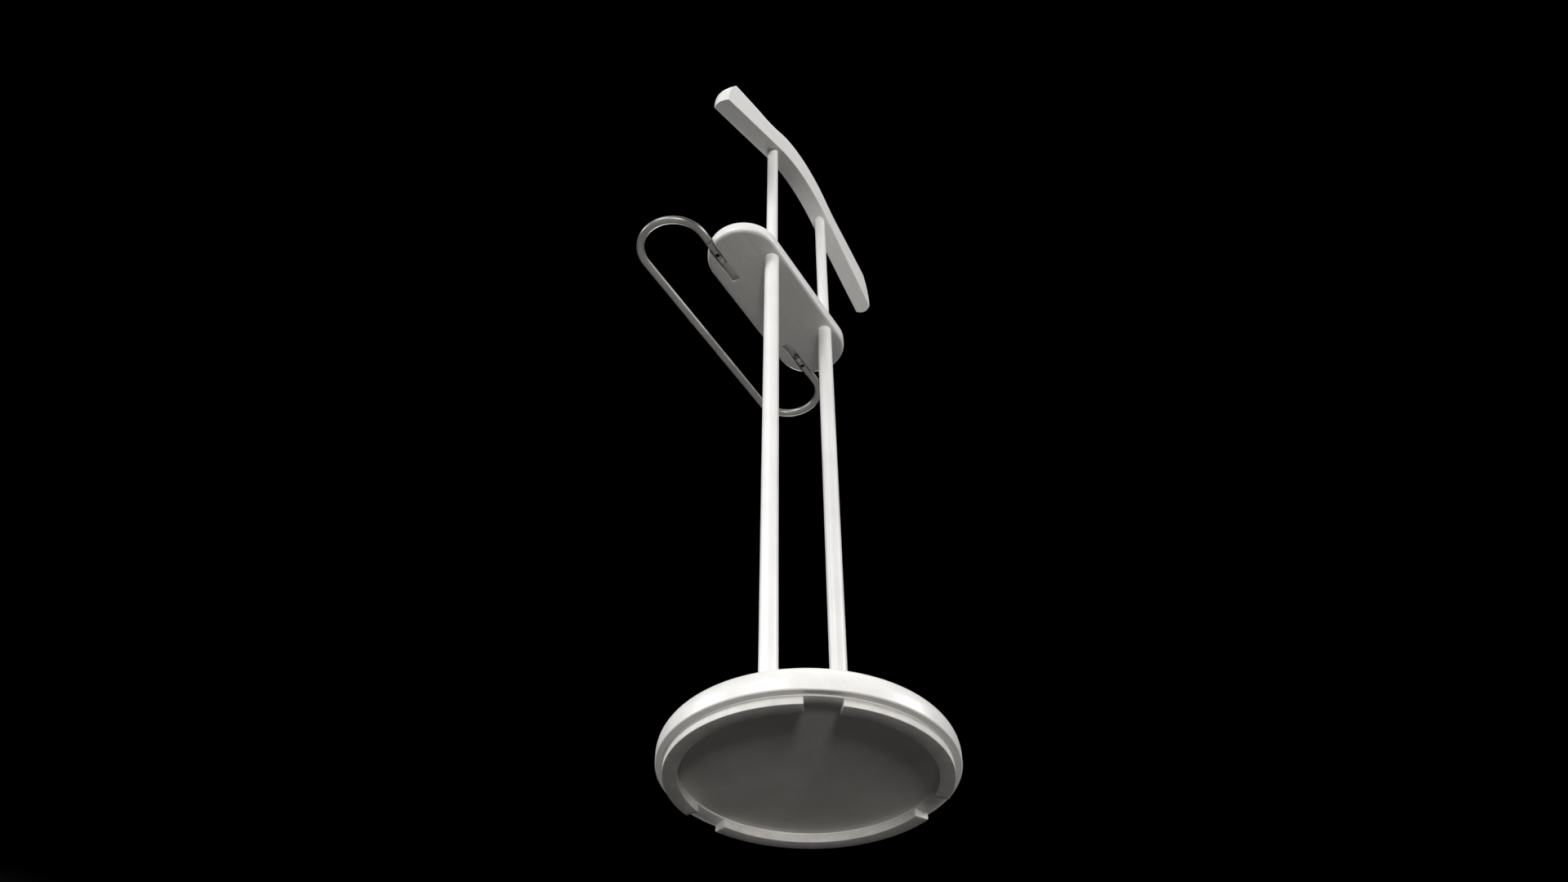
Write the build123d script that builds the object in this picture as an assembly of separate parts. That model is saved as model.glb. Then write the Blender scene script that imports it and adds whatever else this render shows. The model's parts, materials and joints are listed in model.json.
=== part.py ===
from build123d import *
import math
import os

# Free-standing valet stand with a fold-down trouser bar. Millimetres, +Z up.
# The origin is the centre of the round base, on the floor. X runs along the line of the two
# posts, and the trouser bar is on the front, at -Y.

# Base
BASE_R = 150
BASE_BOTTOM = 10
BASE_TOP = 43
BASE_TOP_ROUND = 23
BASE_BOTTOM_ROUND = 2.2
BALLAST_R = 112
BALLAST_TOP = 24
COVER_R = 131
COVER_T = 1.5

# Foot ring and its three pads
RING_INNER = 127
RING_OUTER = 142.5
RING_T = 1.8
PAD_GAPS = ((28, 42.5), (132, 150.5), (252, 270))  # start and end angle of each gap, degrees
SCREW_HEAD_R = 3.2
SCREW_SHANK_R = 1.6
SCREW_DEPTH = 13

# Posts
POST_X = 76
LOWER_POST_R = 10
UPPER_POST_R = 8
TUBE_WALL = 1.5
PLUG_L = 30
STUD_R = 4
BOLT_HEAD_R = 6.5
BOLT_HEAD_H = 8
WASHER_R = 10
WASHER_T = 1.6
BOLT_REACH = 24

# Tray: a stadium with rounded edges and a shallow recess on top
TRAY_BOTTOM = 763.5
TRAY_T = 18.6
TRAY_HALF_LENGTH = 145.6
TRAY_END_R = 50.75
TRAY_Y = -35
TRAY_EDGE_ROUND = 5.5
TRAY_TOP_ROUND = 1.5
DISH_INSET = 5
DISH_DEPTH = 3
TRAY_TOP = TRAY_BOTTOM + TRAY_T
DISH_FLOOR = TRAY_TOP - DISH_DEPTH

# Trouser bar and its pivots
BAR_R = 5.5
BAR_Y = -158.3
HINGE_Y = -62.5
HINGE_Z = TRAY_BOTTOM + 6.2
BAR_BEND_R = (HINGE_Y - BAR_Y) / 2
BAR_BEND_X = 158
JOURNAL_R = 3.5
JOURNAL_END = 101
COLLAR_R = 5.7
COLLAR_START = 104.5
COLLAR_END = 112.5
BUSH_R = 6
BUSH_START = 113
BUSH_END = 143.5
BUSH_BORE_R = JOURNAL_R + 0.05
BAR_SHOULDER = BUSH_END + 0.4
SLOT_R = 6.1
SLOT_START = 70
SET_SCREW_X = 120
SET_SCREW_R = 3.1
HEX_R = 1.5
HEX_DEPTH = 0.7

# Hanger: an arch with straight sloping shoulders, a flat underside and a domed top
HANGER_HALF = 226.5
HANGER_CENTRE_Z = 1064  # underside, at mid length
SHOULDER_SLOPE = 0.5
ARCH_HALF = 75
HANGER_WIDTH = 27
HANGER_END_WIDTH = 25
NOSE_X = 163  # centre of the elliptical nose, along the hanger
NOSE_SPARE = 0.5
END_BULGE = 5  # how far the middle of each end stands out beyond its corners, in plan
STATION_STEP = 50
WALL_AT_STATION = (48, 47, 43.5, 50, 56)  # side height at mid length and each station outward
POCKET_TOP = 1062
INSERT_R = 6
INSERT_L = 18

SIDES = (("left", -1), ("right", 1))


def tube_along_z(radius, bottom, top, x=0.0, y=0.0):
    """Solid round bar on a vertical axis."""
    return Pos(x, y, (bottom + top) / 2) * Cylinder(radius, top - bottom)


def rod_along_x(radius, start, end, y, z):
    """Solid round bar on an axis parallel to X."""
    return Pos((start + end) / 2, y, z) * Rot(0, 90, 0) * Cylinder(radius, abs(end - start))


def stadium(half_length, end_radius, bottom, height):
    """Upright stadium-shaped block, centred on the tray's own centre line."""
    outline = SlotOverall(2 * half_length, 2 * end_radius)
    return extrude(Pos(0, TRAY_Y, bottom) * outline, height)


def pad_spans():
    """Start angle and sweep of each foot pad, between one gap and the next."""
    for index, gap in enumerate(PAD_GAPS):
        following = PAD_GAPS[(index + 1) % len(PAD_GAPS)]
        yield gap[1], (following[0] - gap[1]) % 360


def foot_pad(start, sweep):
    """One arc-shaped pad under the ring."""
    sketch = Plane.XZ * Pos((RING_INNER + RING_OUTER) / 2, (BASE_BOTTOM - RING_T) / 2) * Rectangle(
        RING_OUTER - RING_INNER, BASE_BOTTOM - RING_T
    )
    return Rot(0, 0, start) * revolve(sketch, Axis.Z, sweep)


def ring_screw(angle):
    """Countersunk wood screw, head flush with the underside of the ring."""
    radius = (RING_INNER + RING_OUTER) / 2 + 2.5
    head_bottom = BASE_BOTTOM - RING_T
    head = Pos(0, 0, head_bottom + RING_T / 2) * Cone(SCREW_HEAD_R, SCREW_SHANK_R, RING_T)
    shank = tube_along_z(SCREW_SHANK_R, BASE_BOTTOM, BASE_BOTTOM + SCREW_DEPTH)
    return Rot(0, 0, angle) * Pos(radius, 0, 0) * (head + shank)


def ring_screws():
    """Two screws per pad, a sixth of the way in from its ends."""
    screws = []
    for start, sweep in pad_spans():
        for share in (1 / 6, 5 / 6):
            screws.append(ring_screw(start + share * sweep))
    return screws


def foot_ring(screws):
    """Thin flat ring between the pads and the base."""
    bottom = BASE_BOTTOM - RING_T
    ring = tube_along_z(RING_OUTER, bottom, BASE_BOTTOM) - tube_along_z(RING_INNER, bottom, BASE_BOTTOM)
    for screw in screws:
        ring -= screw
    return ring


def base_disc(screws):
    """Thick round base, domed at its upper edge and hollowed below for the ballast."""
    disc = tube_along_z(BASE_R, BASE_BOTTOM, BASE_TOP)
    disc = fillet(disc.edges().sort_by(Axis.Z)[-1], BASE_TOP_ROUND)
    disc = fillet(disc.edges().sort_by(Axis.Z)[0], BASE_BOTTOM_ROUND)
    disc -= tube_along_z(COVER_R, BASE_BOTTOM, BASE_BOTTOM + COVER_T)
    disc -= tube_along_z(BALLAST_R, BASE_BOTTOM, BALLAST_TOP)
    for _, side in SIDES:
        disc -= tube_along_z(STUD_R, BALLAST_TOP, BASE_TOP, side * POST_X)
    for screw in screws:
        disc -= screw
    return disc


def ballast_plate():
    """Steel disc in the hollow of the base, bored for the bolt heads."""
    plate = tube_along_z(BALLAST_R - 0.5, BASE_BOTTOM + COVER_T, BALLAST_TOP)
    for _, side in SIDES:
        plate -= tube_along_z(WASHER_R + 1, BASE_BOTTOM + COVER_T, BALLAST_TOP, side * POST_X)
    return plate


def base_cover():
    """Thin sheet that closes the hollow, its edge under the foot ring."""
    return tube_along_z(COVER_R, BASE_BOTTOM, BASE_BOTTOM + COVER_T)


def base_washer(side):
    """Flat washer between the bolt head and the base."""
    washer = tube_along_z(WASHER_R, BALLAST_TOP - WASHER_T, BALLAST_TOP, side * POST_X)
    return washer - tube_along_z(STUD_R, BALLAST_TOP - WASHER_T, BALLAST_TOP, side * POST_X)


def base_bolt(side):
    """Bolt up through the base into the plug at the foot of a post."""
    under_head = BALLAST_TOP - WASHER_T
    head = tube_along_z(BOLT_HEAD_R, under_head - BOLT_HEAD_H, under_head, side * POST_X)
    shank = tube_along_z(STUD_R, under_head, BASE_TOP + BOLT_REACH, side * POST_X)
    socket = RegularPolygon(3, 6)
    key = extrude(Pos(side * POST_X, 0, under_head - BOLT_HEAD_H) * socket, BOLT_HEAD_H / 2)
    return head + shank - key


def post_tube(radius, bottom, top, side):
    """Thin-walled round tube."""
    bore = tube_along_z(radius - TUBE_WALL, bottom, top, side * POST_X)
    return tube_along_z(radius, bottom, top, side * POST_X) - bore


def post_plug(radius, bottom, top, hole_bottom, hole_top, side):
    """Plug inside the end of a tube, with a threaded hole for a bolt or stud."""
    plug = tube_along_z(radius - TUBE_WALL, bottom, top, side * POST_X)
    return plug - tube_along_z(STUD_R, hole_bottom, hole_top, side * POST_X)


def pivot_slot(side):
    """Round-roofed slot in the underside of the tray, open at the tray's end."""
    start = side * SLOT_START
    end = side * (TRAY_HALF_LENGTH + 5)
    middle = (start + end) / 2
    length = abs(end - start)
    roof = rod_along_x(SLOT_R, start, end, HINGE_Y, HINGE_Z)
    depth = HINGE_Z - TRAY_BOTTOM + 2
    mouth = Pos(middle, HINGE_Y, HINGE_Z - depth / 2) * Box(length, 2 * SLOT_R, depth)
    return roof + mouth


def tray():
    """Stadium-shaped tray that joins the lower posts to the upper ones."""
    body = stadium(TRAY_HALF_LENGTH, TRAY_END_R, TRAY_BOTTOM, TRAY_T)
    body = fillet(body.faces().sort_by(Axis.Z)[0].edges(), TRAY_EDGE_ROUND)
    body = fillet(body.faces().sort_by(Axis.Z)[-1].edges(), TRAY_TOP_ROUND)
    body -= stadium(TRAY_HALF_LENGTH - DISH_INSET, TRAY_END_R - DISH_INSET, DISH_FLOOR, DISH_DEPTH)
    for _, side in SIDES:
        body -= pivot_slot(side)
        body -= tube_along_z(STUD_R, TRAY_BOTTOM, DISH_FLOOR, side * POST_X)
    return body


def tray_stud(side):
    """Stud through the tray that clamps it between a lower and an upper post."""
    reach = PLUG_L - 6
    return tube_along_z(STUD_R, TRAY_BOTTOM - reach, DISH_FLOOR + reach, side * POST_X)


def trouser_bar():
    """Round rod bent into a closed loop whose two ends turn in the tray."""
    far = (BAR_BEND_X, BAR_Y)
    near = (BAR_BEND_X, HINGE_Y)
    outer = (BAR_BEND_X + BAR_BEND_R, (BAR_Y + HINGE_Y) / 2)
    path = Polyline((BAR_SHOULDER, HINGE_Y), near)
    path += ThreePointArc(near, outer, far)
    path += Line(far, (-far[0], far[1]))
    path += ThreePointArc((-far[0], far[1]), (-outer[0], outer[1]), (-near[0], near[1]))
    path += Line((-near[0], near[1]), (-BAR_SHOULDER, HINGE_Y))
    path = Pos(0, 0, HINGE_Z) * path
    section = Plane((BAR_SHOULDER, HINGE_Y, HINGE_Z), z_dir=(1, 0, 0)) * Circle(BAR_R)
    bar = sweep(section, path)
    for _, side in SIDES:
        bar += rod_along_x(JOURNAL_R, side * JOURNAL_END, side * BAR_SHOULDER, HINGE_Y, HINGE_Z)
    return bar


def end_collar(side):
    """Collar on the inner end of the journal that keeps the bar in its bush."""
    start = side * COLLAR_START
    end = side * COLLAR_END
    collar = rod_along_x(COLLAR_R, start, end, HINGE_Y, HINGE_Z)
    return collar - rod_along_x(JOURNAL_R, start, end, HINGE_Y, HINGE_Z)


def pivot_bush(side):
    """Sleeve in the slot in which a journal turns, with a hole for the set screw."""
    start = side * BUSH_START
    end = side * BUSH_END
    bush = rod_along_x(BUSH_R, start, end, HINGE_Y, HINGE_Z)
    bush -= rod_along_x(BUSH_BORE_R, start, end, HINGE_Y, HINGE_Z)
    hole = tube_along_z(SET_SCREW_R, HINGE_Z - BUSH_R - 1, HINGE_Z, side * SET_SCREW_X, HINGE_Y)
    return bush - hole


def set_screw(side):
    """Headless screw in the bush that sets how stiffly the bar turns."""
    top = HINGE_Z - JOURNAL_R - 0.3
    bottom = HINGE_Z - BUSH_R + 0.8
    screw = tube_along_z(SET_SCREW_R, bottom, top, side * SET_SCREW_X, HINGE_Y)
    key = extrude(Pos(side * SET_SCREW_X, HINGE_Y, bottom) * RegularPolygon(HEX_R, 6), HEX_DEPTH)
    return screw - key


def hanger_underside(x):
    """Height of the flat underside: a parabola that runs on into a straight slope."""
    if abs(x) < ARCH_HALF:
        return HANGER_CENTRE_Z - SHOULDER_SLOPE * x * x / (2 * ARCH_HALF)
    return HANGER_CENTRE_Z - SHOULDER_SLOPE * (abs(x) - ARCH_HALF / 2)


def hanger_width(x):
    """Width in plan: widest at mid length."""
    return HANGER_WIDTH - (HANGER_WIDTH - HANGER_END_WIDTH) * (x / HANGER_HALF) ** 2


def hanger_crest(station):
    """Height of the top of the hanger at one of its stations."""
    x = station * STATION_STEP
    return hanger_underside(x) + WALL_AT_STATION[station] + hanger_width(x) / 2


def hanger_section(x, wall):
    """Cross-section at one station: flat bottom, upright sides and a round top."""
    half = hanger_width(x) / 2
    low = hanger_underside(x)
    spring = low + wall
    outline = Polyline((-half, spring), (-half, low), (half, low), (half, spring))
    outline += ThreePointArc((half, spring), (0, spring + half), (-half, spring))
    plane = Plane((x, 0, 0), x_dir=(0, 1, 0), z_dir=(1, 0, 0))
    return plane * make_face(outline)


def side_outline():
    """Block with the hanger's side view: each nose is an ellipse tangent to the sloping top."""
    last = len(WALL_AT_STATION) - 1
    slope = (hanger_crest(last - 1) - hanger_crest(last)) / STATION_STEP
    centre_z = hanger_underside(HANGER_HALF)
    length = HANGER_HALF - NOSE_X
    rise = hanger_crest(last) + slope * (last * STATION_STEP - NOSE_X) - centre_z
    height = math.sqrt(rise**2 - (length * slope) ** 2) + NOSE_SPARE
    touch_x = NOSE_X + length**2 * slope / rise
    block = Pos(0, 0, centre_z + rise) * Box(2 * touch_x, 2 * HANGER_WIDTH, 2 * rise)
    for _, side in SIDES:
        nose = Plane.XZ * Pos(side * NOSE_X, centre_z) * Ellipse(length, height)
        block += extrude(nose, HANGER_WIDTH, both=True)
    return block


def plan_outline():
    """Block with the hanger's plan view: each end is a shallow arc."""
    half = HANGER_END_WIDTH / 2
    end_r = (half**2 + END_BULGE**2) / (2 * END_BULGE)
    low = hanger_underside(HANGER_HALF) - HANGER_WIDTH
    high = HANGER_CENTRE_Z + 4 * HANGER_WIDTH
    block = Pos(0, 0, (low + high) / 2) * Box(2 * (HANGER_HALF - END_BULGE), 2 * HANGER_WIDTH, high - low)
    for _, side in SIDES:
        block += tube_along_z(end_r, low, high, side * (HANGER_HALF - end_r))
    return block


def hanger():
    """Coat hanger bar with a rounded nose at each end."""
    count = len(WALL_AT_STATION) - 1
    stations = []
    for index in range(-count, count + 1):
        stations.append(hanger_section(index * STATION_STEP, WALL_AT_STATION[abs(index)]))
    tip = HANGER_HALF + 6
    tip_wall = WALL_AT_STATION[-1] + 3
    stations = [hanger_section(-tip, tip_wall)] + stations + [hanger_section(tip, tip_wall)]
    bar = loft(stations) & side_outline() & plan_outline()
    for _, side in SIDES:
        bar -= tube_along_z(UPPER_POST_R, HANGER_CENTRE_Z - 2 * HANGER_WIDTH, POCKET_TOP, side * POST_X)
        bar -= tube_along_z(INSERT_R, POCKET_TOP, POCKET_TOP + INSERT_L, side * POST_X)
    return bar


def hanger_insert(side):
    """Threaded insert set into the hanger above a post."""
    insert = tube_along_z(INSERT_R, POCKET_TOP, POCKET_TOP + INSERT_L, side * POST_X)
    return insert - tube_along_z(STUD_R, POCKET_TOP, POCKET_TOP + INSERT_L - 2, side * POST_X)


def hanger_stud(side):
    """Stud from the plug at the head of an upper post into the hanger's insert."""
    return tube_along_z(STUD_R, POCKET_TOP - 20, POCKET_TOP + INSERT_L - 3, side * POST_X)


def save(shape, name):
    """Write one sub-part as a single shape."""
    solids = shape.solids()
    body = solids[0] if len(solids) == 1 else Compound(children=list(solids))
    export_step(body, os.path.join("parts", name + ".step"))


def save_post(side_name, side):
    """Write the tubes, plugs, studs and bolts of one side of the stand."""
    lower_r, upper_r = LOWER_POST_R, UPPER_POST_R
    bolt_top = BASE_TOP + BOLT_REACH
    reach = PLUG_L - 6
    save(post_tube(lower_r, BASE_TOP, TRAY_BOTTOM, side), "lower_post_" + side_name)
    save(post_tube(upper_r, DISH_FLOOR, POCKET_TOP, side), "upper_post_" + side_name)
    plug = post_plug(lower_r, BASE_TOP, BASE_TOP + PLUG_L, BASE_TOP, bolt_top, side)
    save(plug, "lower_post_foot_plug_" + side_name)
    plug = post_plug(lower_r, TRAY_BOTTOM - PLUG_L, TRAY_BOTTOM, TRAY_BOTTOM - reach, TRAY_BOTTOM, side)
    save(plug, "lower_post_head_plug_" + side_name)
    plug = post_plug(upper_r, DISH_FLOOR, DISH_FLOOR + PLUG_L, DISH_FLOOR, DISH_FLOOR + reach, side)
    save(plug, "upper_post_foot_plug_" + side_name)
    plug = post_plug(upper_r, POCKET_TOP - PLUG_L, POCKET_TOP, POCKET_TOP - 20, POCKET_TOP, side)
    save(plug, "upper_post_head_plug_" + side_name)
    save(base_bolt(side), "base_bolt_" + side_name)
    save(base_washer(side), "base_washer_" + side_name)
    save(tray_stud(side), "tray_stud_" + side_name)
    save(hanger_insert(side), "hanger_insert_" + side_name)
    save(hanger_stud(side), "hanger_stud_" + side_name)


def main():
    os.makedirs("parts", exist_ok=True)
    screws = ring_screws()
    save(base_disc(screws), "base_disc")
    save(ballast_plate(), "ballast_plate")
    save(base_cover(), "base_cover")
    save(foot_ring(screws), "foot_ring")
    save(Compound(children=screws), "foot_ring_screws")
    for place, span in zip(("back", "left", "right"), pad_spans()):
        save(foot_pad(*span), "foot_pad_" + place)
    save(tray(), "tray")
    save(hanger(), "hanger")
    save(trouser_bar(), "trouser_bar")
    for side_name, side in SIDES:
        save_post(side_name, side)
        save(end_collar(side), "bar_end_collar_" + side_name)
        save(pivot_bush(side), "pivot_bush_" + side_name)
        save(set_screw(side), "pivot_set_screw_" + side_name)


main()
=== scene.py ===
import json
import math
import bmesh
import bpy
from mathutils import Matrix, Vector


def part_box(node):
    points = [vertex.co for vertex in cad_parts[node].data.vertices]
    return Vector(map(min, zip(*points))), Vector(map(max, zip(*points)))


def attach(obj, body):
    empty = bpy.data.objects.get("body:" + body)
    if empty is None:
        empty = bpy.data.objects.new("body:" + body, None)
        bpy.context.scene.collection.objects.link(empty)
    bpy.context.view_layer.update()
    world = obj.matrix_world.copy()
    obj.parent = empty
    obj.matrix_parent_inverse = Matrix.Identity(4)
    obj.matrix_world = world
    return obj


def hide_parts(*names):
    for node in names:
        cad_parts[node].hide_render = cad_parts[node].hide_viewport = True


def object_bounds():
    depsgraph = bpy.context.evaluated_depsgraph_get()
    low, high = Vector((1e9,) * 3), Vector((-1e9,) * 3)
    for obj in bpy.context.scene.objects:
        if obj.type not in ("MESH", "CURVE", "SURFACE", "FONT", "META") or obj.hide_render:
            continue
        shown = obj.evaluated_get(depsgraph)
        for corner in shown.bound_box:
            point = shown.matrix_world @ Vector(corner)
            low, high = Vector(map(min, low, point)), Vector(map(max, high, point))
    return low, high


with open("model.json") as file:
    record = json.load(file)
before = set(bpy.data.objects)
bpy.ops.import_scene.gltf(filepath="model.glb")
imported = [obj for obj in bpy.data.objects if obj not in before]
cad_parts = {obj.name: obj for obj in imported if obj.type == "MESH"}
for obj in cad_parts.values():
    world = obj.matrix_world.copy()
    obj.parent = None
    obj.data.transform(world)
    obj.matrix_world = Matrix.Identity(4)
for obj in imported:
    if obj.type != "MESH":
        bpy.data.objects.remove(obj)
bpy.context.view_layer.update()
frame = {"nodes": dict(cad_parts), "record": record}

# A white valet stand seen from behind and below: lacquered wood base, tray and hanger, enamelled
# tube posts and a satin metal trouser bar. Metres, +Z up, the same frame as the CAD nodes.

NODES = frame["nodes"]
HINGE = frame["record"]["behaviour"]["joints"][0]["pos_m"]
SIDES = (("left", -1), ("right", 1))

# Roundings, thicknesses and gaps that a node's box doesn't give
BASE_TOP_ROUND = 0.023
BASE_BOTTOM_ROUND = 0.0022
RECESS_DEPTH = 0.0015
TUBE_WALL = 0.0015
RIM_BREAK = 0.0003
PAD_ROUND = 0.0007
RING_WIDTH = 0.0155
BALLAST_GAP = 0.0005
PAD_GAPS = ((28, 42.5), (132, 150.5), (252, 270))
TRAY_EDGE_ROUND = 0.0055
TRAY_TOP_ROUND = 0.0015
DISH_INSET = 0.005
DISH_DEPTH = 0.003
LIP_ROUND = 0.0008
SLOT_START = 0.070
SLOT_R = 0.0061
SLOT_PAST_TRAY = 0.005
CUTTER_DEPTH = 0.02
BAR_R = 0.0055
JOURNAL_R = 0.0035
SHOULDER_BREAK = 0.0006
SHOULDER_SPACE = 0.0004
JOURNAL_PAST_COLLAR = 0.0035
JOURNAL_BREAK = 0.0004

# Hanger
SHOULDER_SLOPE = 0.5
ARCH_HALF = 0.075
NOSE_X = 0.163
NOSE_STEPS = 40
NOSE_STOP = 89.5
END_BULGE = 0.005
BULGE_REACH = 0.027
STATION_STEP = 0.050
WALL_AT_STATION = (0.048, 0.047, 0.0435, 0.050, 0.056, 0.0605)
END_WIDTH = 0.025
UNDER_ROUND = 0.0006

# Floor
FLOOR_R = 9
FLOOR_SIDES = 96
FLOOR_DROP = 0.0002

# Camera: how it stands and looks, and its lens
CAMERA_PLACE = (0.8995, 0.4972, -0.5493)
CAMERA_TURN = 124.57
CAMERA_PITCH = 44.66
CAMERA_ROLL = 2.93
CAMERA_LENS = 26.26
CAMERA_SHIFT = 0.0400


# ---------------------------------------------------------------- mesh tools


def centre_of(node):
    """Middle of a CAD node's box."""
    low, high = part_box(node)
    return (low + high) / 2


def new_piece(name, mesh, body, material, replaced=()):
    """Put a mesh in the scene as one piece of the object."""
    piece = bpy.data.objects.new(name, mesh)
    bpy.context.scene.collection.objects.link(piece)
    mesh.materials.append(material)
    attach(piece, body)
    if replaced:
        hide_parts(*replaced)
    return piece


def finish_mesh(build, name, sharp_degrees=32):
    """Turn a bmesh into a smooth-shaded mesh that keeps its sharp edges."""
    bmesh.ops.remove_doubles(build, verts=build.verts, dist=1e-6)
    bmesh.ops.recalc_face_normals(build, faces=build.faces)
    limit = math.radians(sharp_degrees)
    for face in build.faces:
        face.smooth = True
    for edge in build.edges:
        edge.smooth = len(edge.link_faces) == 2 and edge.calc_face_angle(0) < limit
    mesh = bpy.data.meshes.new(name)
    build.to_mesh(mesh)
    build.free()
    return mesh


def skin_rings(build, rings, closed=False):
    """Join rings of points with quads; a closed skin joins the last ring to the first."""
    loops = [[build.verts.new(point) for point in ring] for ring in rings]
    pairs = list(zip(loops, loops[1:]))
    if closed:
        pairs.append((loops[-1], loops[0]))
    count = len(loops[0])
    for ring_a, ring_b in pairs:
        for i in range(count):
            j = (i + 1) % count
            build.faces.new((ring_a[i], ring_a[j], ring_b[j], ring_b[i]))
    return loops


def arc(centre, radius, start, end, steps):
    """Points on an arc in a plane, angles in degrees."""
    points = []
    for i in range(steps + 1):
        angle = math.radians(start + (end - start) * i / steps)
        points.append((centre[0] + radius * math.cos(angle), centre[1] + radius * math.sin(angle)))
    return points


def lathe(name, profile, centre, segments=160, closed=False):
    """Turn an (r, z) profile about the vertical axis through a point."""
    build = bmesh.new()
    rings = []
    for i in range(segments):
        angle = math.tau * i / segments
        cos_a, sin_a = math.cos(angle), math.sin(angle)
        rings.append([Vector((centre[0] + r * cos_a, centre[1] + r * sin_a, z)) for r, z in profile])
    loops = [[build.verts.new(point) for point in ring] for ring in rings]
    last = len(profile) if closed else len(profile) - 1
    for i in range(segments):
        ring_a, ring_b = loops[i], loops[(i + 1) % segments]
        for k in range(last):
            m = (k + 1) % len(profile)
            corners = [ring_a[k], ring_b[k], ring_b[m], ring_a[m]]
            if profile[k][0] == 0:
                corners = [ring_a[k], ring_b[m], ring_a[m]]
            elif profile[m][0] == 0:
                corners = [ring_a[k], ring_b[k], ring_a[m]]
            build.faces.new(corners)
    return finish_mesh(build, name)


# ---------------------------------------------------------------- materials


class Look:
    """A node-based material with object coordinates, built up one texture at a time."""

    def __init__(self, name, colour, roughness, metallic=0.0):
        self.material = bpy.data.materials.new(name)
        self.material.use_nodes = True
        self.tree = self.material.node_tree
        self.shader = self.tree.nodes["Principled BSDF"]
        self.shader.inputs["Base Color"].default_value = (*colour, 1)
        self.shader.inputs["Roughness"].default_value = roughness
        self.shader.inputs["Metallic"].default_value = metallic
        self.coords = self.tree.nodes.new("ShaderNodeTexCoord").outputs["Object"]
        self.normal = None

    def stretched(self, scale):
        """Object coordinates stretched along the axes."""
        mapping = self.tree.nodes.new("ShaderNodeMapping")
        mapping.inputs["Scale"].default_value = scale
        self.tree.links.new(self.coords, mapping.inputs["Vector"])
        return mapping.outputs["Vector"]

    def noise(self, scale, detail=3.0, roughness=0.55, vector=None):
        """Noise value from 0 to 1."""
        node = self.tree.nodes.new("ShaderNodeTexNoise")
        node.inputs["Scale"].default_value = scale
        node.inputs["Detail"].default_value = detail
        node.inputs["Roughness"].default_value = roughness
        self.tree.links.new(vector or self.coords, node.inputs["Vector"])
        return node.outputs["Fac"]

    def cells(self, scale, vector=None):
        """Distance to the nearest cell centre, for dimples and specks."""
        node = self.tree.nodes.new("ShaderNodeTexVoronoi")
        node.inputs["Scale"].default_value = scale
        self.tree.links.new(vector or self.coords, node.inputs["Vector"])
        return node.outputs["Distance"]

    def ramp(self, value, low, high, low_out, high_out):
        """Map a value's range to another one, clamped."""
        node = self.tree.nodes.new("ShaderNodeMapRange")
        node.inputs["From Min"].default_value = low
        node.inputs["From Max"].default_value = high
        node.inputs["To Min"].default_value = low_out
        node.inputs["To Max"].default_value = high_out
        self.tree.links.new(value, node.inputs["Value"])
        return node.outputs["Result"]

    def tint(self, value, dark, light):
        """Blend two colours by a value and use the result as the base colour."""
        node = self.tree.nodes.new("ShaderNodeMix")
        node.data_type = "RGBA"
        node.inputs["A"].default_value = (*dark, 1)
        node.inputs["B"].default_value = (*light, 1)
        self.tree.links.new(value, node.inputs["Factor"])
        self.tree.links.new(node.outputs["Result"], self.shader.inputs["Base Color"])
        return node.outputs["Result"]

    def gloss(self, value):
        """Drive roughness by a value."""
        self.tree.links.new(value, self.shader.inputs["Roughness"])

    def relief(self, height, depth, strength=1.0):
        """Add a bump layer over those already there; depth in metres."""
        node = self.tree.nodes.new("ShaderNodeBump")
        node.inputs["Distance"].default_value = depth
        node.inputs["Strength"].default_value = strength
        self.tree.links.new(height, node.inputs["Height"])
        if self.normal:
            self.tree.links.new(self.normal, node.inputs["Normal"])
        self.normal = node.outputs["Normal"]
        self.tree.links.new(self.normal, self.shader.inputs["Normal"])

    def worn_edges(self, value, radius, edge_colour):
        """Lighten or darken the base colour where the surface turns sharply."""
        bevel = self.tree.nodes.new("ShaderNodeBevel")
        bevel.samples = 4
        bevel.inputs["Radius"].default_value = radius
        geometry = self.tree.nodes.new("ShaderNodeNewGeometry")
        dot = self.tree.nodes.new("ShaderNodeVectorMath")
        dot.operation = "DOT_PRODUCT"
        self.tree.links.new(bevel.outputs["Normal"], dot.inputs[0])
        self.tree.links.new(geometry.outputs["Normal"], dot.inputs[1])
        edge = self.ramp(dot.outputs["Value"], 0.99, 0.90, 0.0, 0.5)
        node = self.tree.nodes.new("ShaderNodeMix")
        node.data_type = "RGBA"
        self.tree.links.new(edge, node.inputs["Factor"])
        self.tree.links.new(value, node.inputs["A"])
        node.inputs["B"].default_value = (*edge_colour, 1)
        self.tree.links.new(node.outputs["Result"], self.shader.inputs["Base Color"])


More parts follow.
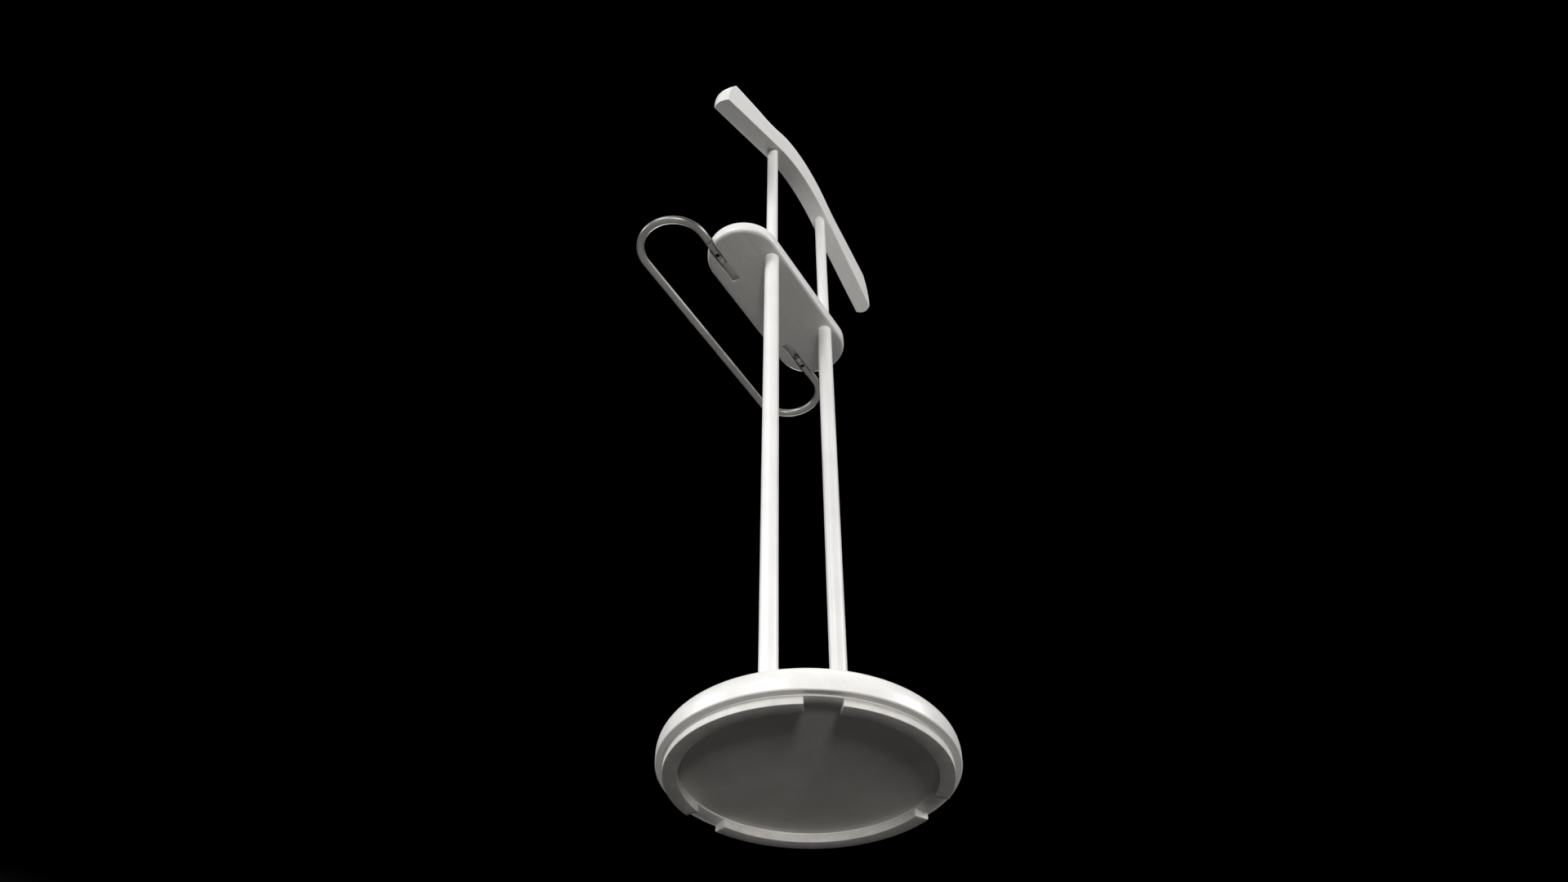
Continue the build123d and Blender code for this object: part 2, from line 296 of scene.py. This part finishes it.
def lacquered_wood(name, grain_scale):
    """White satin lacquer over wood whose pores and growth lines still show faintly."""
    look = Look(name, (0.80, 0.79, 0.77), 0.38)
    along = look.stretched(grain_scale)
    growth = look.noise(9.0, 4.0, 0.6, along)
    pores = look.noise(60.0, 2.0, 0.7, along)
    brush = look.noise(26.0, 3.0, 0.5, look.stretched((3, 3, 3)))
    colour = look.tint(look.ramp(growth, 0.35, 0.68, 0.0, 1.0), (0.785, 0.772, 0.750), (0.835, 0.825, 0.810))
    look.worn_edges(colour, 0.0012, (0.70, 0.66, 0.60))
    look.gloss(look.ramp(brush, 0.3, 0.7, 0.30, 0.46))
    look.relief(look.ramp(growth, 0.3, 0.7, 0.0, 1.0), 0.00022, 0.5)
    look.relief(look.ramp(pores, 0.25, 0.48, 0.0, 1.0), 0.00016, 0.8)
    look.shader.inputs["Coat Weight"].default_value = 0.25
    look.shader.inputs["Coat Roughness"].default_value = 0.22
    return look.material


def powder_coat():
    """White powder coat with a fine orange-peel skin."""
    look = Look("powder_coat_white", (0.82, 0.81, 0.795), 0.34)
    peel = look.noise(520.0, 2.0, 0.5)
    cloud = look.noise(14.0, 3.0, 0.5)
    scuffs = look.noise(38.0, 5.0, 0.7, look.stretched((4, 4, 0.6)))
    look.tint(look.ramp(cloud, 0.35, 0.65, 0.0, 1.0), (0.79, 0.78, 0.765), (0.85, 0.84, 0.825))
    look.gloss(look.ramp(scuffs, 0.35, 0.72, 0.28, 0.46))
    look.relief(peel, 0.00012, 0.5)
    return look.material


def satin_metal():
    """Satin nickel with fine brush marks round the rod and a few finger smudges."""
    look = Look("satin_nickel", (0.22, 0.215, 0.205), 0.36, 0.85)
    marks = look.noise(240.0, 3.0, 0.6, look.stretched((6, 1, 1)))
    smudge = look.noise(22.0, 4.0, 0.6)
    look.tint(look.ramp(smudge, 0.3, 0.7, 0.0, 1.0), (0.18, 0.175, 0.167), (0.25, 0.245, 0.236))
    look.gloss(look.ramp(smudge, 0.32, 0.7, 0.30, 0.48))
    look.relief(marks, 0.00005, 0.6)
    return look.material


def pad_rubber():
    """Light grey rubber: moulded skin with a fine grain and pale scuffed specks."""
    look = Look("pad_rubber_grey", (0.62, 0.605, 0.585), 0.7)
    grain = look.cells(1500.0)
    cloud = look.noise(60.0, 5.0, 0.65)
    colour = look.tint(look.ramp(cloud, 0.35, 0.7, 0.0, 1.0), (0.60, 0.585, 0.565), (0.74, 0.725, 0.705))
    look.worn_edges(colour, 0.0008, (0.80, 0.79, 0.77))
    look.gloss(look.ramp(cloud, 0.3, 0.7, 0.6, 0.82))
    look.relief(grain, 0.00018, 0.6)
    return look.material


def moulded_ring():
    """Off-white moulded plastic with a light spark texture."""
    look = Look("ring_plastic_offwhite", (0.74, 0.73, 0.71), 0.52)
    spark = look.noise(900.0, 2.0, 0.6)
    cloud = look.noise(25.0, 3.0, 0.5)
    look.tint(look.ramp(cloud, 0.3, 0.7, 0.0, 1.0), (0.71, 0.70, 0.68), (0.79, 0.78, 0.76))
    look.relief(spark, 0.0001, 0.5)
    return look.material


def cover_sheet():
    """Painted sheet under the base, with rolled-on paint texture and dust."""
    look = Look("cover_sheet_grey", (0.66, 0.65, 0.63), 0.58)
    roller = look.noise(320.0, 3.0, 0.6)
    dust = look.noise(11.0, 6.0, 0.68)
    look.tint(look.ramp(dust, 0.38, 0.66, 0.0, 1.0), (0.62, 0.605, 0.585), (0.75, 0.735, 0.715))
    look.gloss(look.ramp(dust, 0.3, 0.7, 0.5, 0.72))
    look.relief(roller, 0.00014, 0.6)
    return look.material


def plated_steel(name, dark, light, metallic=0.9):
    """Plated fastener metal with small stains."""
    look = Look(name, light, 0.42, metallic)
    stain = look.noise(180.0, 4.0, 0.6)
    look.tint(look.ramp(stain, 0.35, 0.7, 0.0, 1.0), dark, light)
    look.gloss(look.ramp(stain, 0.3, 0.7, 0.36, 0.6))
    look.relief(stain, 0.00006, 0.5)
    return look.material


def black_oxide_and_painted_shade():
    """Dull black oxide on the sunken set screws, partly painted shade: the near-black colour and weak
    specular stand in for the shade down the screw holes.
    """
    # Partly painted shade: darker than real black oxide, with specular damped, to stand in for the shade in
    # the holes round the screws.
    look = Look("black_oxide_and_painted_shade", (0.004, 0.004, 0.004), 0.85)
    stain = look.noise(180.0, 4.0, 0.6)
    look.tint(stain, (0.003, 0.003, 0.003), (0.008, 0.008, 0.009))
    look.relief(stain, 0.00006, 0.5)
    look.shader.inputs["Specular IOR Level"].default_value = 0.1
    return look.material


def rough_casting():
    """Dark cast iron with a sandy skin."""
    look = Look("ballast_casting", (0.11, 0.11, 0.115), 0.75, 0.6)
    sand = look.noise(420.0, 5.0, 0.7)
    look.tint(sand, (0.08, 0.08, 0.085), (0.17, 0.165, 0.16))
    look.relief(sand, 0.0005, 0.7)
    return look.material


def plug_plastic():
    """Black moulded nylon."""
    look = Look("plug_nylon_black", (0.03, 0.03, 0.032), 0.5)
    grain = look.noise(700.0, 2.0, 0.6)
    look.tint(grain, (0.022, 0.022, 0.024), (0.045, 0.045, 0.048))
    look.relief(grain, 0.0001, 0.5)
    return look.material


WOOD_FLAT = lacquered_wood("lacquered_wood_base", (1.0, 9.0, 9.0))
WOOD_TRAY = lacquered_wood("lacquered_wood_tray", (1.2, 11.0, 11.0))
WOOD_HANGER = lacquered_wood("lacquered_wood_hanger", (1.4, 13.0, 9.0))
POWDER = powder_coat()
NICKEL = satin_metal()
RUBBER = pad_rubber()
RING = moulded_ring()
SHEET = cover_sheet()
STEEL = plated_steel("plated_steel", (0.20, 0.20, 0.21), (0.36, 0.36, 0.37))
BLACK_OXIDE_AND_SHADE = black_oxide_and_painted_shade()
BRASS = plated_steel("turned_brass", (0.42, 0.30, 0.12), (0.62, 0.47, 0.20))
CASTING = rough_casting()
NYLON = plug_plastic()

SLOT_LOOKS = {
    "painted_wood": WOOD_FLAT,
    "ballast_iron": CASTING,
    "base_sheet": SHEET,
    "ring_plastic": RING,
    "pad_rubber": RUBBER,
    "post_enamel": POWDER,
    "satin_bar": NICKEL,
    "plug_plastic": NYLON,
    "fastener_steel": STEEL,
    # The set screws' near-black look is partly painted shade of the holes that they sit in.
    "blacked_screw": BLACK_OXIDE_AND_SHADE,
    "insert_brass": BRASS,
}


def dress_cad_nodes():
    """Give every CAD node the look of its material slot."""
    for part in frame["record"]["subparts"]:
        data = NODES[part["node"]].data
        look = SLOT_LOOKS[part["material_slot"]]
        if not data.materials:
            data.materials.append(look)
        for index in range(len(data.materials)):
            data.materials[index] = look


# ---------------------------------------------------------------- base


def make_base():
    """Round base: domed upper edge, small lower edge, and the recesses underneath."""
    low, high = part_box("base_disc")
    middle = centre_of("base_disc")
    radius = (high.x - low.x) / 2
    cover_r = (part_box("base_cover")[1].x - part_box("base_cover")[0].x) / 2
    cavity_r = (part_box("ballast_plate")[1].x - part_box("ballast_plate")[0].x) / 2 + BALLAST_GAP
    cavity_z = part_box("ballast_plate")[1].z
    top, bottom = high.z, low.z
    profile = [(0, top)]
    profile += [(r, top) for r in (radius * 0.35, radius * 0.7)]
    round_x = radius - BASE_TOP_ROUND
    profile += arc((round_x, top - BASE_TOP_ROUND), BASE_TOP_ROUND, 90, 0, 28)
    small_x = radius - BASE_BOTTOM_ROUND
    profile += arc((small_x, bottom + BASE_BOTTOM_ROUND), BASE_BOTTOM_ROUND, 0, -90, 8)
    recess = bottom + RECESS_DEPTH
    profile += [(cover_r, bottom), (cover_r, recess), (cavity_r, recess), (cavity_r, cavity_z), (0, cavity_z)]
    mesh = lathe("base_disc_fine", profile, middle, 256)
    new_piece("base_disc_fine", mesh, "frame", WOOD_FLAT, ["base_disc"])


def make_post(node):
    """Tube post with a broken edge at each rim."""
    low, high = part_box(node)
    middle = centre_of(node)
    radius = (high.x - low.x) / 2
    inner = radius - TUBE_WALL
    profile = [
        (inner, low.z),
        (radius - RIM_BREAK, low.z),
        (radius, low.z + RIM_BREAK),
    ]
    steps = 8
    span = high.z - low.z - 2 * RIM_BREAK
    profile += [(radius, low.z + RIM_BREAK + span * i / steps) for i in range(1, steps + 1)]
    profile += [(radius - RIM_BREAK, high.z), (inner, high.z)]
    mesh = lathe(node + "_fine", profile, middle, 96, closed=True)
    new_piece(node + "_fine", mesh, "frame", POWDER, [node])


def rounded_section(inner, outer, bottom, top, rounding, steps=4):
    """Closed (r, z) outline of a rectangle with rounded corners."""
    points = arc((outer - rounding, bottom + rounding), rounding, -90, 0, steps)
    points += arc((outer - rounding, top - rounding), rounding, 0, 90, steps)
    points += arc((inner + rounding, top - rounding), rounding, 90, 180, steps)
    points += arc((inner + rounding, bottom + rounding), rounding, 180, 270, steps)
    return points


def arc_block(name, section, start, sweep, end_round):
    """Sweep an (r, z) outline part of the way round the base, with softened ends."""
    middle_r = sum(r for r, _ in section) / len(section)
    middle_z = sum(z for _, z in section) / len(section)
    pull = end_round / middle_r
    stops = [(0, 1), (pull * 0.3, 0.35), (pull, 0)]
    steps = max(8, int(sweep / 1.5))
    start, sweep = math.radians(start), math.radians(sweep)
    inner = [(pull + (sweep - 2 * pull) * i / steps, 0) for i in range(1, steps)]
    stops += inner + [(sweep - a, inset) for a, inset in reversed(stops)]
    build = bmesh.new()
    rings = []
    for angle, inset in stops:
        cos_a, sin_a = math.cos(start + angle), math.sin(start + angle)
        ring = []
        for r, z in section:
            r_in = r - math.copysign(end_round * inset, r - middle_r)
            z_in = z - math.copysign(end_round * inset, z - middle_z)
            ring.append(Vector((r_in * cos_a, r_in * sin_a, z_in)))
        rings.append(ring)
    loops = skin_rings(build, rings)
    build.faces.new(loops[0])
    build.faces.new(loops[-1])
    return finish_mesh(build, name)


def make_foot():
    """Thin ring and its three arc pads."""
    low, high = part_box("foot_ring")
    outer = (high.x - low.x) / 2
    inner = outer - RING_WIDTH
    ring_low, ring_high = low.z, high.z
    profile = rounded_section(inner, outer, ring_low, ring_high, RIM_BREAK, 2)
    mesh = lathe("foot_ring_fine", profile, (0, 0), 240, closed=True)
    new_piece("foot_ring_fine", mesh, "frame", RING, ["foot_ring"])
    section = rounded_section(inner, outer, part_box("foot_pad_back")[0].z, ring_low, PAD_ROUND)
    for index, place in enumerate(("back", "left", "right")):
        start = PAD_GAPS[index][1]
        sweep = (PAD_GAPS[(index + 1) % len(PAD_GAPS)][0] - start) % 360
        name = "foot_pad_" + place
        mesh = arc_block(name + "_fine", section, start, sweep, PAD_ROUND)
        new_piece(name + "_fine", mesh, "frame", RUBBER, [name])


# ---------------------------------------------------------------- tray


def stadium_ring(half_straight, radius, centre_y, z, steps=48):
    """Points round a stadium outline."""
    points = []
    for side, start in ((1, -90), (-1, 90)):
        for x, y in arc((side * half_straight, centre_y), radius, start, start + 180, steps):
            points.append(Vector((x, y, z)))
    return points


def slot_cutter(side, hinge_y, hinge_z, reach):
    """Block with a round roof that cuts a pivot slot from below."""
    outline = arc((hinge_y, hinge_z), SLOT_R, 0, 180, 24)
    low_z = hinge_z - CUTTER_DEPTH
    outline += [(hinge_y - SLOT_R, low_z), (hinge_y + SLOT_R, low_z)]
    build = bmesh.new()
    rings = []
    for x in (side * SLOT_START, side * reach):
        rings.append([Vector((x, y, z)) for y, z in outline])
    loops = skin_rings(build, rings)
    build.faces.new(loops[0])
    build.faces.new(loops[-1])
    bmesh.ops.recalc_face_normals(build, faces=build.faces)
    mesh = bpy.data.meshes.new("slot_cutter")
    build.to_mesh(mesh)
    build.free()
    cutter = bpy.data.objects.new("slot_cutter", mesh)
    bpy.context.scene.collection.objects.link(cutter)
    return cutter


def cut(piece_mesh, cutters):
    """Subtract the cutters from a mesh and return the result."""
    target = bpy.data.objects.new("cut_target", piece_mesh)
    bpy.context.scene.collection.objects.link(target)
    for cutter in cutters:
        modifier = target.modifiers.new("cut", "BOOLEAN")
        modifier.operation = "DIFFERENCE"
        modifier.solver = "EXACT"
        modifier.object = cutter
    graph = bpy.context.evaluated_depsgraph_get()
    result = bpy.data.meshes.new_from_object(target.evaluated_get(graph))
    for helper in [target, *cutters]:
        bpy.data.objects.remove(helper, do_unlink=True)
    return result


def make_tray():
    """Stadium tray with a rounded lower edge, a shallow recess on top and two pivot slots."""
    low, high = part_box("tray")
    middle = centre_of("tray")
    end_r = (high.y - low.y) / 2
    straight = (high.x - low.x) / 2 - end_r
    bottom, top = low.z, high.z
    floor = top - DISH_DEPTH
    profile = arc((end_r - TRAY_EDGE_ROUND, bottom + TRAY_EDGE_ROUND), TRAY_EDGE_ROUND, -90, 0, 10)
    profile += arc((end_r - TRAY_TOP_ROUND, top - TRAY_TOP_ROUND), TRAY_TOP_ROUND, 0, 90, 5)
    lip = end_r - DISH_INSET
    profile += arc((lip + LIP_ROUND, top - LIP_ROUND), LIP_ROUND, 90, 180, 4)
    ease = LIP_ROUND * 0.3
    profile += [(lip, floor + LIP_ROUND), (lip - ease, floor + ease), (lip - LIP_ROUND, floor)]
    build = bmesh.new()
    rings = [stadium_ring(straight, r, middle.y, z) for r, z in profile]
    loops = skin_rings(build, rings)
    build.faces.new(loops[0])
    build.faces.new(loops[-1])
    solid = finish_mesh(build, "tray_solid")
    reach = high.x + SLOT_PAST_TRAY
    cutters = [slot_cutter(side, HINGE[1], HINGE[2], reach) for _, side in SIDES]
    mesh = cut(solid, cutters)
    build = bmesh.new()
    build.from_mesh(mesh)
    mesh = finish_mesh(build, "tray_fine")
    mesh.materials.clear()
    new_piece("tray_fine", mesh, "frame", WOOD_TRAY, ["tray"])


# ---------------------------------------------------------------- trouser bar


def make_trouser_bar():
    """Closed loop of round rod whose thinner ends are the pivots."""
    low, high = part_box("trouser_bar")
    front_y = low.y + BAR_R
    bend_r = (HINGE[1] - front_y) / 2
    bend_x = high.x - BAR_R - bend_r
    bend_y = (HINGE[1] + front_y) / 2
    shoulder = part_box("pivot_bush_right")[1].x + SHOULDER_SPACE
    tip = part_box("bar_end_collar_right")[0].x - JOURNAL_PAST_COLLAR
    stops = [(tip, JOURNAL_R - JOURNAL_BREAK), (tip + JOURNAL_BREAK, JOURNAL_R), (shoulder, JOURNAL_R)]
    stops += [(shoulder, BAR_R - SHOULDER_BREAK), (shoulder + SHOULDER_BREAK, BAR_R), (bend_x, BAR_R)]
    path = [((x, HINGE[1]), (1, 0), radius) for x, radius in stops]
    bend_steps = 56
    for i in range(1, bend_steps + 1):
        angle = math.pi / 2 - math.pi * i / bend_steps
        place = (bend_x + bend_r * math.cos(angle), bend_y + bend_r * math.sin(angle))
        path.append((place, (math.sin(angle), -math.cos(angle)), BAR_R))
    straight_steps = 12
    for i in range(1, straight_steps):
        path.append(((bend_x - 2 * bend_x * i / straight_steps, front_y), (-1, 0), BAR_R))
    mirrored = []
    for (x, y), (dx, dy), radius in reversed(path[: len(stops) + bend_steps]):
        mirrored.append(((-x, y), (dx, -dy), radius))
    path += mirrored
    build = bmesh.new()
    rings = []
    around = 48
    for (x, y), (dx, dy), radius in path:
        side = Vector((-dy, dx, 0))
        ring = []
        for k in range(around):
            angle = math.tau * k / around
            offset = side * math.cos(angle) + Vector((0, 0, 1)) * math.sin(angle)
            ring.append(Vector((x, y, HINGE[2])) + offset * radius)
        rings.append(ring)
    loops = skin_rings(build, rings)
    build.faces.new(loops[0])
    build.faces.new(loops[-1])
    mesh = finish_mesh(build, "trouser_bar_fine")
    new_piece("trouser_bar_fine", mesh, "trouser_bar", NICKEL, ["trouser_bar"])


# ---------------------------------------------------------------- hanger


def wall_height(x):
    """Side height, by a smooth curve through the values at the stations."""
    values = WALL_AT_STATION
    place = abs(x) / STATION_STEP
    i = min(int(place), len(values) - 2)
    t = place - i
    before = values[abs(i - 1)]
    after = values[min(i + 2, len(values) - 1)]
    a, b = values[i], values[i + 1]
    slope_a, slope_b = (b - before) / 2, (after - a) / 2
    t2, t3 = t * t, t * t * t
    return (
        (2 * t3 - 3 * t2 + 1) * a
        + (t3 - 2 * t2 + t) * slope_a
        + (3 * t2 - 2 * t3) * b
        + (t3 - t2) * slope_b
    )


class HangerShape:
    """Sizes of the hanger bar, and the outlines that follow from them."""

    def __init__(self):
        low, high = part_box("hanger")
        self.half_length = high.x
        self.middle_width = high.y - low.y
        self.end_z = low.z
        self.centre_z = low.z + SHOULDER_SLOPE * (high.x - ARCH_HALF / 2)
        outer = (len(WALL_AT_STATION) - 2) * STATION_STEP
        slope = (self.crest(outer - STATION_STEP) - self.crest(outer)) / STATION_STEP
        rise = self.crest(outer) + slope * (outer - NOSE_X) - self.end_z
        self.nose_length = self.half_length - NOSE_X
        self.nose_height = math.sqrt(rise**2 - (self.nose_length * slope) ** 2)
        self.touch_x = NOSE_X + self.nose_length**2 * slope / rise

    def half_width(self, x):
        """Half the width in plan: widest at mid length."""
        taper = (self.middle_width - END_WIDTH) * (x / self.half_length) ** 2
        return (self.middle_width - taper) / 2

    def underside(self, x):
        """Height of the flat underside: a parabola that runs on into a straight slope."""
        if abs(x) < ARCH_HALF:
            return self.centre_z - SHOULDER_SLOPE * x * x / (2 * ARCH_HALF)
        return self.centre_z - SHOULDER_SLOPE * (abs(x) - ARCH_HALF / 2)

    def crest(self, x):
        """Height of the domed top."""
        return self.underside(x) + wall_height(x) + self.half_width(x)

    def stations(self):
        """Places along the hanger, closer together round the noses."""
        count = 90
        middle = [self.touch_x * (2 * i / count - 1) for i in range(count + 1)]
        first = math.asin((self.touch_x - NOSE_X) / self.nose_length)
        last = math.radians(NOSE_STOP)
        nose = []
        for i in range(1, NOSE_STEPS + 1):
            angle = first + (last - first) * i / NOSE_STEPS
            nose.append(NOSE_X + self.nose_length * math.sin(angle))
        return [-x for x in reversed(nose)] + middle + nose

    def nose_limit(self, x):
        """Highest point that the elliptical nose allows at a station."""
        share = max(abs(x) - NOSE_X, 0) / self.nose_length
        return self.end_z + self.nose_height * math.sqrt(max(1 - share**2, 0))

    def ring(self, x):
        """Cross-section: flat bottom with eased corners, upright sides, round top."""
        half = self.half_width(x)
        wall = wall_height(x)
        outline = arc((half - UNDER_ROUND, UNDER_ROUND), UNDER_ROUND, -90, 0, 3)
        outline += [(half, wall * i / 12) for i in range(1, 12)]
        outline += arc((0, wall), half, 0, 180, 36)
        outline += [(-half, wall * i / 12) for i in range(11, 0, -1)]
        outline += arc((-half + UNDER_ROUND, UNDER_ROUND), UNDER_ROUND, 180, 270, 3)
        outline += [((half - UNDER_ROUND) * (i / 4 - 1), 0) for i in range(1, 8)]
        near_end = min(max((abs(x) - self.half_length + BULGE_REACH) / BULGE_REACH, 0), 1)
        room = self.nose_limit(x) - self.underside(x) if abs(x) > self.touch_x else math.inf
        ring = []
        for y, z in outline:
            inward = END_BULGE * near_end * (y / half) ** 2
            shifted = math.copysign(abs(x) - inward, x)
            ring.append(Vector((shifted, y, self.underside(shifted) + min(z, room))))
        return ring


def make_hanger():
    """Coat hanger bar: arched, with a domed top and elliptical noses."""
    shape = HangerShape()
    build = bmesh.new()
    loops = skin_rings(build, [shape.ring(x) for x in shape.stations()])
    build.faces.new(loops[0])
    build.faces.new(loops[-1])
    mesh = finish_mesh(build, "hanger_fine", 24)
    new_piece("hanger_fine", mesh, "frame", WOOD_HANGER, ["hanger"])


# ---------------------------------------------------------------- stage, light and camera


def floor_material():
    """Pale floor that is seen only from above and doesn't dim what it is under."""
    material = bpy.data.materials.new("pale_floor")
    material.use_nodes = True
    tree = material.node_tree
    shader = tree.nodes["Principled BSDF"]
    shader.inputs["Base Color"].default_value = (0.52, 0.515, 0.505, 1)
    shader.inputs["Roughness"].default_value = 0.85
    clear = tree.nodes.new("ShaderNodeBsdfTransparent")
    geometry = tree.nodes.new("ShaderNodeNewGeometry")
    path = tree.nodes.new("ShaderNodeLightPath")
    seen = tree.nodes.new("ShaderNodeMath")
    seen.operation = "MAXIMUM"
    tree.links.new(path.outputs["Is Camera Ray"], seen.inputs[0])
    tree.links.new(path.outputs["Is Glossy Ray"], seen.inputs[1])
    front = tree.nodes.new("ShaderNodeMath")
    front.operation = "SUBTRACT"
    front.use_clamp = True
    tree.links.new(seen.outputs[0], front.inputs[0])
    tree.links.new(geometry.outputs["Backfacing"], front.inputs[1])
    mix = tree.nodes.new("ShaderNodeMixShader")
    tree.links.new(front.outputs[0], mix.inputs["Fac"])
    tree.links.new(clear.outputs[0], mix.inputs[1])
    tree.links.new(shader.outputs[0], mix.inputs[2])
    tree.links.new(mix.outputs[0], tree.nodes["Material Output"].inputs["Surface"])
    return material


def make_floor():
    """Large round floor, built as a disc of faces."""
    build = bmesh.new()
    rim = []
    for i in range(FLOOR_SIDES):
        angle = math.tau * i / FLOOR_SIDES
        rim.append(build.verts.new((FLOOR_R * math.cos(angle), FLOOR_R * math.sin(angle), 0)))
    build.faces.new(rim)
    mesh = bpy.data.meshes.new("studio_floor")
    build.to_mesh(mesh)
    build.free()
    floor = bpy.data.objects.new("studio_floor", mesh)
    bpy.context.scene.collection.objects.link(floor)
    floor.location.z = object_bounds()[0].z - FLOOR_DROP
    mesh.materials.append(floor_material())


def smooth_step(tree, value, start, end):
    """Smooth rise from 0 to 1 between two values."""
    node = tree.nodes.new("ShaderNodeMapRange")
    node.interpolation_type = "SMOOTHSTEP"
    node.inputs["From Min"].default_value = start
    node.inputs["From Max"].default_value = end
    tree.links.new(value, node.inputs["Value"])
    return node.outputs["Result"]


def make_world():
    """Pale band round the horizon, nearly dark below it and black above."""
    world = bpy.data.worlds.new("studio_world")
    bpy.context.scene.world = world
    world.use_nodes = True
    tree = world.node_tree
    background = tree.nodes["Background"]
    coords = tree.nodes.new("ShaderNodeTexCoord")
    split = tree.nodes.new("ShaderNodeSeparateXYZ")
    tree.links.new(coords.outputs["Generated"], split.inputs[0])
    lower = tree.nodes.new("ShaderNodeMix")
    lower.data_type = "RGBA"
    lower.inputs["A"].default_value = (0.03, 0.0295, 0.028, 1)
    lower.inputs["B"].default_value = (0.36, 0.355, 0.345, 1)
    tree.links.new(smooth_step(tree, split.outputs["Z"], -0.30, -0.18), lower.inputs["Factor"])
    upper = tree.nodes.new("ShaderNodeMix")
    upper.data_type = "RGBA"
    upper.inputs["B"].default_value = (0.0, 0.0, 0.0, 1)
    tree.links.new(lower.outputs["Result"], upper.inputs["A"])
    tree.links.new(smooth_step(tree, split.outputs["Z"], 0.20, 0.34), upper.inputs["Factor"])
    tree.links.new(upper.outputs["Result"], background.inputs["Color"])
    background.inputs["Strength"].default_value = 0.30


def far_light(name, azimuth, elevation, strength, spread, colour=(1, 1, 1)):
    """Soft light from far away, given by the direction that it comes from, in degrees."""
    data = bpy.data.lights.new(name, "SUN")
    data.energy = strength
    data.angle = math.radians(spread)
    data.color = colour
    light = bpy.data.objects.new(name, data)
    bpy.context.scene.collection.objects.link(light)
    turn, rise = math.radians(azimuth), math.radians(elevation)
    source = Vector((math.cos(rise) * math.cos(turn), math.cos(rise) * math.sin(turn), math.sin(rise)))
    light.rotation_euler = (-source).to_track_quat("-Z", "Y").to_euler()


def make_lights():
    """Soft light from all round: a nearly level one from behind, higher ones, and a faint one below."""
    far_light("key_soft", 38, -5.5, 1.6, 12, (1.0, 0.985, 0.96))
    far_light("right_soft", 0, 29, 1.9, 20)
    far_light("back_left_soft", 110, 25, 1.6, 20)
    far_light("front_right_soft", -50, 27, 1.1, 20)
    far_light("front_left_soft", 209, 25, 1.5, 25)
    far_light("top_soft", 180, 78, 0.4, 40)
    far_light("under_soft", 29, -60, 0.12, 40, (1.0, 0.97, 0.92))


def make_camera():
    """Camera behind the stand, to its right and below the floor, looking up."""
    data = bpy.data.cameras.new("view_camera")
    data.lens = CAMERA_LENS
    data.sensor_width = 36
    data.shift_x = CAMERA_SHIFT
    data.clip_start = 0.01
    camera = bpy.data.objects.new("view_camera", data)
    bpy.context.scene.collection.objects.link(camera)
    turn = Matrix.Rotation(math.radians(CAMERA_TURN), 4, "Z")
    pitch = Matrix.Rotation(math.radians(90 + CAMERA_PITCH), 4, "X")
    roll = Matrix.Rotation(math.radians(CAMERA_ROLL), 4, "Z")
    camera.matrix_world = Matrix.Translation(CAMERA_PLACE) @ turn @ pitch @ roll
    bpy.context.scene.camera = camera


# ---------------------------------------------------------------- build

dress_cad_nodes()
make_base()
make_foot()
for side_name, _ in SIDES:
    make_post("lower_post_" + side_name)
    make_post("upper_post_" + side_name)
make_tray()
make_trouser_bar()
make_hanger()
make_floor()
make_world()
make_lights()
make_camera()
bpy.context.scene.view_settings.view_transform = "Standard"
